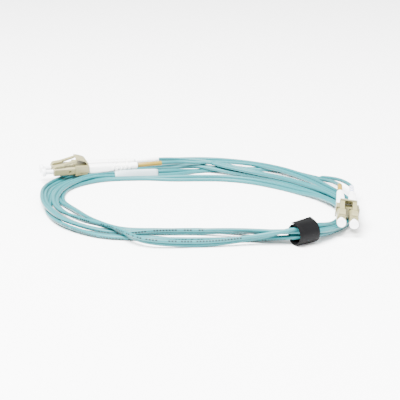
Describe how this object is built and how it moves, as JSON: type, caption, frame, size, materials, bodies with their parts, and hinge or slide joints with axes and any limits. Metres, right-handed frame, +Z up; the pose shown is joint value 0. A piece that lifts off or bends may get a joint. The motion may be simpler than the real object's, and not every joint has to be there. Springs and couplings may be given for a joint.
{
  "type": "fiber optic patch cord",
  "caption": "Loosely coiled duplex fibre patch cord with an LC duplex plug at each end, boots, marker sleeves, dust caps, a cable label and a hook-and-loop strap.",
  "frame": {"origin": "midway between the two duplex plugs and the strap, on the surface that the cord lies on", "axes": "+X from the left plug towards the right plug, +Y across the coil to its back, +Z up"},
  "size_m": [0.1737, 0.1652, 0.0147],
  "materials": {
    "aqua_jacket": "smooth aqua PVC jacket, satin",
    "beige_plastic": "moulded beige plastic, satin",
    "white_boot": "soft white moulded boot, satin",
    "cap_plastic": "milky white soft plastic",
    "zirconia": "polished white ceramic",
    "nickel": "nickel-plated brass, satin",
    "spring_steel": "drawn spring wire",
    "buffer": "tight buffer over the glass fibre",
    "marker_yellow": "printed yellow sleeve",
    "marker_white": null,
    "label_film": "clear film wrapped over white paper",
    "strap_fabric": "black hook-and-loop tape"
  },
  "bodies": {
    "cord": {"left_clip": "beige_plastic", "left_spring_a": "spring_steel", "left_housing_a": "beige_plastic", "left_rear_body_a": "beige_plastic", "left_crimp_sleeve_a": "nickel", "left_boot_a": "white_boot", "left_buffered_fibre_a": "buffer", "left_marker_sleeve_a": "marker_yellow", "left_leg_a": "aqua_jacket", "left_spring_b": "spring_steel", "left_housing_b": "beige_plastic", "left_rear_body_b": "beige_plastic", "left_crimp_sleeve_b": "nickel", "left_boot_b": "white_boot", "left_buffered_fibre_b": "buffer", "left_marker_sleeve_b": "marker_white", "left_leg_b": "aqua_jacket", "right_clip": "beige_plastic", "right_spring_a": "spring_steel", "right_housing_a": "beige_plastic", "right_rear_body_a": "beige_plastic", "right_crimp_sleeve_a": "nickel", "right_boot_a": "white_boot", "right_buffered_fibre_a": "buffer", "right_marker_sleeve_a": "marker_yellow", "right_leg_a": "aqua_jacket", "right_spring_b": "spring_steel", "right_housing_b": "beige_plastic", "right_rear_body_b": "beige_plastic", "right_crimp_sleeve_b": "nickel", "right_boot_b": "white_boot", "right_buffered_fibre_b": "buffer", "right_marker_sleeve_b": "marker_white", "right_leg_b": "aqua_jacket", "coil": "aqua_jacket", "label_sleeve": "label_film", "strap": "strap_fabric"},
    "left_trigger": {"left_trigger": "beige_plastic"},
    "left_latch_a": {"left_latch_a": "beige_plastic"},
    "left_ferrule_a": {"left_ferrule_a": "zirconia", "left_ferrule_flange_a": "nickel"},
    "left_dust_cap_a": {"left_dust_cap_a": "cap_plastic"},
    "left_latch_b": {"left_latch_b": "beige_plastic"},
    "left_ferrule_b": {"left_ferrule_b": "zirconia", "left_ferrule_flange_b": "nickel"},
    "left_dust_cap_b": {"left_dust_cap_b": "cap_plastic"},
    "right_trigger": {"right_trigger": "beige_plastic"},
    "right_latch_a": {"right_latch_a": "beige_plastic"},
    "right_ferrule_a": {"right_ferrule_a": "zirconia", "right_ferrule_flange_a": "nickel"},
    "right_dust_cap_a": {"right_dust_cap_a": "cap_plastic"},
    "right_latch_b": {"right_latch_b": "beige_plastic"},
    "right_ferrule_b": {"right_ferrule_b": "zirconia", "right_ferrule_flange_b": "nickel"},
    "right_dust_cap_b": {"right_dust_cap_b": "cap_plastic"}
  },
  "joints": [
    {"name": "left_trigger_press", "type": "hinge", "parent": "cord", "child": "left_trigger", "pos_m": [-0.06039, 0.05665, 0.01008], "axis": [0.3067, -0.944, -0.1219], "range_deg": [0, 12], "stiffness_Nm_per_rad": 0.19},
    {"name": "left_latch_flex_a", "type": "hinge", "parent": "cord", "child": "left_latch_a", "pos_m": [-0.07709, 0.04803, 0.0092], "axis": [-0.3067, 0.944, 0.1219], "range_deg": [0, 6.6], "stiffness_Nm_per_rad": 0.0000005, "springref_deg": -108.86},
    {"name": "left_ferrule_float_a", "type": "slide", "parent": "cord", "child": "left_ferrule_a", "axis": [0.9511, 0.309, 0], "range_m": [0, 0.0009], "stiffness_N_per_m": 1500, "deforming": ["left_spring_a"]},
    {"name": "left_dust_cap_pull_a", "type": "slide", "parent": "cord", "child": "left_dust_cap_a", "axis": [-0.9511, -0.309, 0], "range_m": [0, 0.008]},
    {"name": "left_latch_flex_b", "type": "hinge", "parent": "cord", "child": "left_latch_b", "pos_m": [-0.07901, 0.05393, 0.00996], "axis": [-0.3067, 0.944, 0.1219], "range_deg": [0, 6.6], "stiffness_Nm_per_rad": 0.0000005, "springref_deg": -108.86},
    {"name": "left_ferrule_float_b", "type": "slide", "parent": "cord", "child": "left_ferrule_b", "axis": [0.9511, 0.309, 0], "range_m": [0, 0.0009], "stiffness_N_per_m": 1500, "deforming": ["left_spring_b"]},
    {"name": "left_dust_cap_pull_b", "type": "slide", "parent": "cord", "child": "left_dust_cap_b", "axis": [-0.9511, -0.309, 0], "range_m": [0, 0.008]},
    {"name": "right_trigger_press", "type": "hinge", "parent": "cord", "child": "right_trigger", "pos_m": [0.0784, -0.02865, 0.01048], "axis": [0.9891, -0.0831, -0.1219], "range_deg": [0, 12], "stiffness_Nm_per_rad": 0.19},
    {"name": "right_latch_flex_a", "type": "hinge", "parent": "cord", "child": "right_latch_a", "pos_m": [0.0737, -0.04687, 0.01036], "axis": [-0.9891, 0.0831, 0.1219], "range_deg": [0, 6.6], "stiffness_Nm_per_rad": 0.0000005, "springref_deg": -108.86},
    {"name": "right_ferrule_float_a", "type": "slide", "parent": "cord", "child": "right_ferrule_a", "axis": [0.0837, 0.9965, 0], "range_m": [0, 0.0009], "stiffness_N_per_m": 1500, "deforming": ["right_spring_a"]},
    {"name": "right_dust_cap_pull_a", "type": "slide", "parent": "cord", "child": "right_dust_cap_a", "axis": [-0.0837, -0.9965, 0], "range_m": [0, 0.008]},
    {"name": "right_latch_flex_b", "type": "hinge", "parent": "cord", "child": "right_latch_b", "pos_m": [0.07988, -0.04739, 0.0096], "axis": [-0.9891, 0.0831, 0.1219], "range_deg": [0, 6.6], "stiffness_Nm_per_rad": 0.0000005, "springref_deg": -108.86},
    {"name": "right_ferrule_float_b", "type": "slide", "parent": "cord", "child": "right_ferrule_b", "axis": [0.0837, 0.9965, 0], "range_m": [0, 0.0009], "stiffness_N_per_m": 1500, "deforming": ["right_spring_b"]},
    {"name": "right_dust_cap_pull_b", "type": "slide", "parent": "cord", "child": "right_dust_cap_b", "axis": [-0.0837, -0.9965, 0], "range_m": [0, 0.008]}
  ],
  "couplings": [
    {"joint": "left_latch_flex_a", "follows": "left_trigger_press", "ratio": 0.54},
    {"joint": "left_latch_flex_b", "follows": "left_trigger_press", "ratio": 0.54},
    {"joint": "right_latch_flex_a", "follows": "right_trigger_press", "ratio": 0.54},
    {"joint": "right_latch_flex_b", "follows": "right_trigger_press", "ratio": 0.54}
  ]
}
